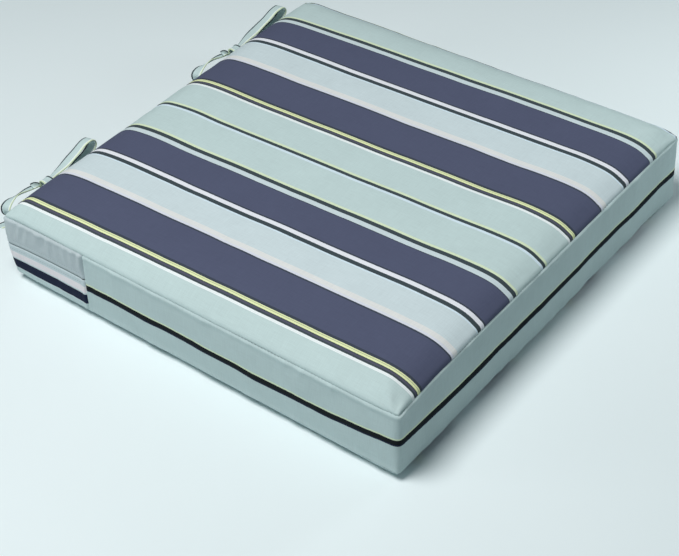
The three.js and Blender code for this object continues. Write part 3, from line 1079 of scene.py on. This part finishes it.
def add_filling():
    # Heights of each block's upper and lower face, from the cover's.
    foam_faces = (
        lambda cover: np.minimum(FOAM_HIGH_Z, cover - 4.0 * MM),
        lambda cover: np.maximum(FOAM_LOW_Z, cover + 4.0 * MM),
    )
    above_faces = lambda cover: cover - 2.4 * MM, lambda cover: 0 * cover + FOAM_HIGH_Z - 1.0 * MM
    below_faces = lambda cover: 0 * cover + FOAM_LOW_Z - 0.3 * MM, lambda cover: cover + 1.5 * MM
    fibre = fibre_material()
    foam = filling_block("filling_foam", FOAM_INSET, *foam_faces, 1.5 * MM)
    above = filling_block("filling_fibre_top", FIBRE_INSET, *above_faces, 1 * MM)
    for vertex in above.data.vertices:
        vertex.co.z = max(vertex.co.z, FOAM_HIGH_Z - FIBRE_OVERLAP)
    below = filling_block("filling_fibre_bottom", FIBRE_INSET, *below_faces, 1 * MM)
    pieces = [(foam, "foam_core", "foam", foam_material())]
    pieces += [(above, "batting_top", "fibre_fill", fibre), (below, "batting_bottom", "fibre_fill", fibre)]
    for piece, node, slot, material in pieces:
        keep(piece, "cushion", slot, material, node)


add_filling()

# ---- Zip: coils of monofilament, stops, slider and pull in the CAD's places ----
COIL_PITCH = 1.4 * MM
COIL_STEPS = 10
COIL_WIRE = 0.30 * MM
COIL_DEPTH = 2.0 * MM
TAPE_THICKNESS = 0.6 * MM
ZIP_SETBACK = 5 * MM


def zip_line(inset, step, low_z, high_z):
    """A line inside the zip's slit from seam to seam, and the directions out of the cloth."""
    count = round((LEFT_SEAM - RIGHT_SEAM) / step)
    along = np.linspace(RIGHT_SEAM + ZIP_SETBACK, LEFT_SEAM - ZIP_SETBACK, count)
    points, normals = boxing_places(along, [ZIP_RISE])
    out = unit(normals[0] * (1, 1, 0))
    line = points[0] - out * inset
    line[:, 2] = (low_z + high_z) / 2
    return line, out


def coil(name, node):
    """A zip coil: one filament wound along the tape's edge, a loop for each tooth."""
    low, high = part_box(node)
    line, out = zip_line(HALF_X - high.x + COIL_DEPTH / 2, COIL_PITCH / COIL_STEPS, low.z, high.z)
    phase = 2 * math.pi * np.arange(len(line))[:, None] / COIL_STEPS
    tall = (high.z - low.z) / 2 - COIL_WIRE
    radial = out * (COIL_DEPTH / 2 - COIL_WIRE) * np.cos(phase) + np.array((0, 0, tall)) * np.sin(phase)
    return tube(name, line + radial, unit(radial), COIL_WIRE, 5)


def tape(name, node):
    low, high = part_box(node)
    line, _ = zip_line(HALF_X - high.x + TAPE_THICKNESS / 2, 3 * MM, low.z, high.z)
    return ribbon(name, line, (0, 0, 1), high.z - low.z, TAPE_THICKNESS)


def upright(x, y, z):
    """Turns a plate's outline plane into the X-Z plane, at a place."""
    return Matrix(((1, 0, 0, x), (0, 0, -1, y), (0, 1, 0, z), (0, 0, 0, 1)))


def sideways(x, y, z):
    """Turns a plate's outline plane into the Y-Z plane, at a place."""
    return Matrix(((0, 0, 1, x), (1, 0, 0, y), (0, 1, 0, z), (0, 0, 0, 1)))


def circle(x, y, radius, steps=20):
    return [(x + radius * math.cos(angle), y + radius * math.sin(angle)) for angle in circle_angles(steps)]


def slider_outline(half_length, half_height):
    """A slider plate: wide where the tapes enter, narrow where they leave joined."""
    points = [(-1, 0.62), (-0.55, 0.72), (0, 0.95), (0.5, 1), (0.85, 0.9), (1, 0.55)]
    upper = [(half_length * u, half_height * v) for u, v in points]
    return [(x, -y) for x, y in upper] + upper[::-1]


def slider_piece():
    low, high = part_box("zip_slider")
    x, z = (low.x + high.x) / 2, (low.z + high.z) / 2
    half_length, half_height = (high.x - low.x) / 2, (high.z - low.z) / 2
    front_y, back_y = HALF_Y + 0.9 * MM, low.y + 0.6 * MM
    outline = slider_outline(half_length, half_height)
    front = plate("front", [outline], 1.2 * MM, 0.35 * MM, upright(x, front_y, z))
    back = plate("back", [outline], 1.2 * MM, 0.35 * MM, upright(x, back_y, z))
    neck_outline = round_rectangle((-2.5 * MM, -0.5 * MM), (2.5 * MM, 0.5 * MM), 0.4 * MM, 3)
    neck = plate("neck", [neck_outline], front_y - back_y, 0.05 * MM, upright(x, (front_y + back_y) / 2, z))
    rise = [[-4.6, 1.0], [-4.6, 2.9], [-4.1, 4.1], [-2.8, 4.6]]
    arch = rise + [[0, 4.7]] + [[-u, v] for u, v in rise[::-1]]
    line = curve_through(np.array([[x + u * MM, HALF_Y + v * MM, z] for u, v in arch]), 0.35 * MM)
    bridge = ribbon("bridge", line, (0, 0, 1), 1.7 * MM, 0.95 * MM)
    return joined("slider_body", [front, back, neck, bridge])


def pull_piece():
    """The pull: one stamped tab with an eye for the bridge at one end and a hole at the other."""
    low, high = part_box("zip_pull")
    z = (low.z + high.z) / 2
    half = (high.z - low.z) / 2
    y = JOINT_PLACE["pull_flip"][1]
    outer = round_rectangle((low.x, -half), (high.x, half), 1.6 * MM)
    eye = round_rectangle((high.x - 7.3 * MM, -1.9 * MM), (high.x - 1.6 * MM, 1.9 * MM), 0.8 * MM)
    hole = circle(low.x + 3.6 * MM, 0, 1.5 * MM)
    return plate("pull_tab", [outer, eye[::-1], hole[::-1]], 1.2 * MM, 0.3 * MM, upright(0, y, z))


def stop_piece(name, node):
    low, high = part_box(node)
    rim_y, rim_z = 0.9 * MM, 3.4 * MM
    outline = round_rectangle((low.y, low.z), (high.y, high.z), 0.9 * MM)
    inner = round_rectangle((low.y + rim_y, low.z + rim_z), (high.y - rim_y, high.z - rim_z), 0.3 * MM)
    place = sideways((low.x + high.x) / 2, 0, 0)
    return plate(name, [outline, inner[::-1]], high.x - low.x, 0.45 * MM, place)


def metal_material():
    nodes = Nodes("zip_metal")
    place = nodes.place()
    scratches = nodes.noise(nodes.stretched(place, (300, 2500, 2500)), 1.0, 3)
    tarnish = nodes.noise(place, 400, 3)
    colour = nodes.ramp(tarnish, [(0.35, (0.42, 0.43, 0.45)), (0.65, (0.62, 0.63, 0.64))])
    nodes.base(colour)
    nodes.feed(nodes.shader.inputs["Roughness"], nodes.total((scratches, 0.25), 0.2))
    nodes.bump(scratches, 0.2, 0.05 * MM)
    nodes.set(Metallic=0.95)
    return nodes.material


def coil_material():
    nodes = Nodes("zip_coil")
    tone = nodes.noise(nodes.place(), 500, 2)
    nodes.base(nodes.ramp(tone, [(0.3, (0.40, 0.51, 0.53)), (0.7, (0.50, 0.61, 0.62))]))
    nodes.bump(tone, 0.15, 0.05 * MM)
    nodes.set(Roughness=0.4, Specular_IOR_Level=0.45)
    return nodes.material


def tape_material():
    nodes = Nodes("zip_tape")
    cloth = nodes.cloth_place()
    tone = nodes.noise(cloth, 40, 2)
    colour = nodes.ramp(tone, [(0.3, (0.34, 0.46, 0.48)), (0.7, (0.42, 0.54, 0.55))])
    return weave(nodes, cloth, colour, 0.9 * MM)


def add_zip():
    twill, coils, metal = tape_material(), coil_material(), metal_material()
    for half in ("upper", "lower"):
        keep(tape("tape_" + half, "zip_tape_" + half), "cushion", "zip_tape", twill, "zip_tape_" + half)
        keep(coil("coil_" + half, "zip_coil_" + half), "cushion", "zip_coil", coils, "zip_coil_" + half)
    for side in ("left", "right"):
        node = "zip_stop_" + side
        keep(stop_piece("stop_" + side, node), "cushion", "zip_metal", metal, node)
    keep(slider_piece(), "slider", "zip_metal", metal, "zip_slider")
    keep(pull_piece(), "pull", "zip_metal", metal, "zip_pull")


add_zip()

# ---- Stitches along the seams and beside the zip ----
# A thread's shape: places along as shares of its half length, and its thickness there as a share.
STITCH = [[-1, 0.3], [-0.8, 0.85], [0, 1], [0.8, 0.85], [1, 0.3]]
THREAD_SIDES = 6
# Pitch, length, radius and how deep the ends dive.
SEAM_STITCH = (4 * MM, 2.8 * MM, 0.22 * MM, 0.3 * MM)
ZIP_TOPSTITCH = (3.4 * MM, 2.5 * MM, 0.22 * MM, 0.35 * MM)


def stitches(name, line, out, pitch, length, radius, sink):
    """A row of short threads along a line, whose ends dive into the cloth."""
    at = distances(line)
    places = np.arange(pitch / 2, at[-1], pitch)
    pick = lambda values, where: np.stack([np.interp(where, at, values[:, axis]) for axis in range(3)], -1)
    share, thick = np.array(STITCH).T
    where = places[:, None] + share * length / 2
    middle, up = pick(line, where), unit(pick(out, where))
    along = unit(pick(line, where + 0.1 * MM) - pick(line, where - 0.1 * MM) + 1e-9)
    across = unit(np.cross(up, along))
    middle = middle + up * (radius - sink * share**4)[None, :, None]
    angle = circle_angles(THREAD_SIDES)
    turn = np.cos(angle)[:, None] * across[..., None, :] + np.sin(angle)[:, None] * up[..., None, :]
    points = middle[..., None, :] + turn * (radius * thick)[None, :, None, None]
    size = len(share) * THREAD_SIDES
    starts = size * np.arange(len(places))[:, None, None]
    faces = (starts + skin(len(share), THREAD_SIDES)).reshape(-1, 4)
    return new_object(name, points.reshape(-1, 3), faces)


def boxing_line(start, end, rise, sink):
    """A line on the boxing at one height above the lower seam, and the directions out of the cloth."""
    along = np.linspace(start, end, round((end - start) / (2 * MM)))
    points, normals = boxing_places(along, [rise])
    return points[0] - normals[0] * sink, normals[0]


def vertical_line(at, sink):
    points, normals = boxing_places([at], np.linspace(3 * MM, BOXING_HEIGHT - 3 * MM, 40))
    return points[:, 0] - normals[:, 0] * sink, normals[:, 0]


def thread_material(name, colour):
    nodes = Nodes(name)
    place = nodes.place()
    ply = nodes.add("ShaderNodeTexWave", Vector=place, Scale=1500, Distortion=4)
    # The grooves between the plies, where the bump dips, are darkened as painted shade.
    shade = nodes.ramp(ply.outputs["Fac"], [(0, (0.6, 0.6, 0.6)), (1, (1, 1, 1))])
    nodes.base(nodes.mix("MULTIPLY", 0.5, (*colour, 1), shade))
    nodes.bump(ply.outputs["Fac"], 0.4, 0.1 * MM)
    nodes.set(Roughness=0.6, Sheen_Weight=0.2)
    return nodes.material


def add_stitches():
    seam_thread = thread_material("seam_thread", (0.34, 0.44, 0.45))
    zip_thread = thread_material("zip_thread", (0.36, 0.46, 0.48))
    depth = SEAM_DEPTH + 0.25 * MM
    seams = {
        "upper": boxing_line(0, GIRTH, BOXING_HEIGHT, depth), "lower": boxing_line(0, GIRTH, 0, depth),
        "right": vertical_line(RIGHT_SEAM, depth), "left": vertical_line(LEFT_SEAM, depth),
    }
    for name, seam in seams.items():
        keep(stitches("stitch_" + name, *seam, *SEAM_STITCH), "cushion", "boxing_fabric", seam_thread)
    for name, direction in (("above", 1), ("below", -1)):
        rise = ZIP_RISE + direction * (SLIT / 2 + ZIP_STITCH)
        line, out = boxing_line(RIGHT_SEAM + 3 * MM, LEFT_SEAM - 3 * MM, rise, 0.3 * MM)
        row = stitches("zip_stitch_" + name, line, out, *ZIP_TOPSTITCH)
        keep(row, "cushion", "boxing_fabric", zip_thread)


add_stitches()


# ---- Floor and light ----
FLOOR_HALF = 4.0
PAD_MIDDLE = Vector((0, 0, 0.05))


def add_floor():
    corners = [(x * FLOOR_HALF, y * FLOOR_HALF, 0) for x, y in ((-1, -1), (1, -1), (1, 1), (-1, 1))]
    floor = new_object("floor", corners, [(0, 1, 2, 3)])
    nodes = Nodes("floor")
    tone = nodes.noise(nodes.place(), 3.0)
    nodes.base(nodes.ramp(tone, [(0, (0.78, 0.86, 0.88)), (1, (0.82, 0.89, 0.91))]))
    nodes.set(Roughness=0.9)
    paint(floor, nodes.material)


def add_area_light(name, place, size, power, colour):
    data = bpy.data.lights.new(name, "AREA")
    data.shape = "DISK"
    data.size = size
    data.energy = power
    data.color = colour
    light = placed(name, data)
    light.location = place
    light.rotation_euler = (PAD_MIDDLE - Vector(place)).to_track_quat("-Z", "Y").to_euler()


def add_world():
    world = bpy.data.worlds.new("studio")
    world.use_nodes = True
    sky = world.node_tree.nodes["Background"]
    sky.inputs["Color"].default_value = (0.45, 0.95, 1.12, 1)
    sky.inputs["Strength"].default_value = 0.055
    bpy.context.scene.world = world
    bpy.context.scene.view_settings.view_transform = "Standard"


add_floor()
add_world()
add_area_light("key", (-0.80, 0.16, 2.11), 1.0, 45.0, (0.99, 0.995, 0.985))
add_area_light("rear_fill", (-1.5, 1.3, 0.7), 0.8, 3.0, (0.94, 1.0, 1.0))
add_area_light("front_fill", (0.64, -0.5, 0.4), 0.3, 1.25, (0.94, 1.0, 1.0))
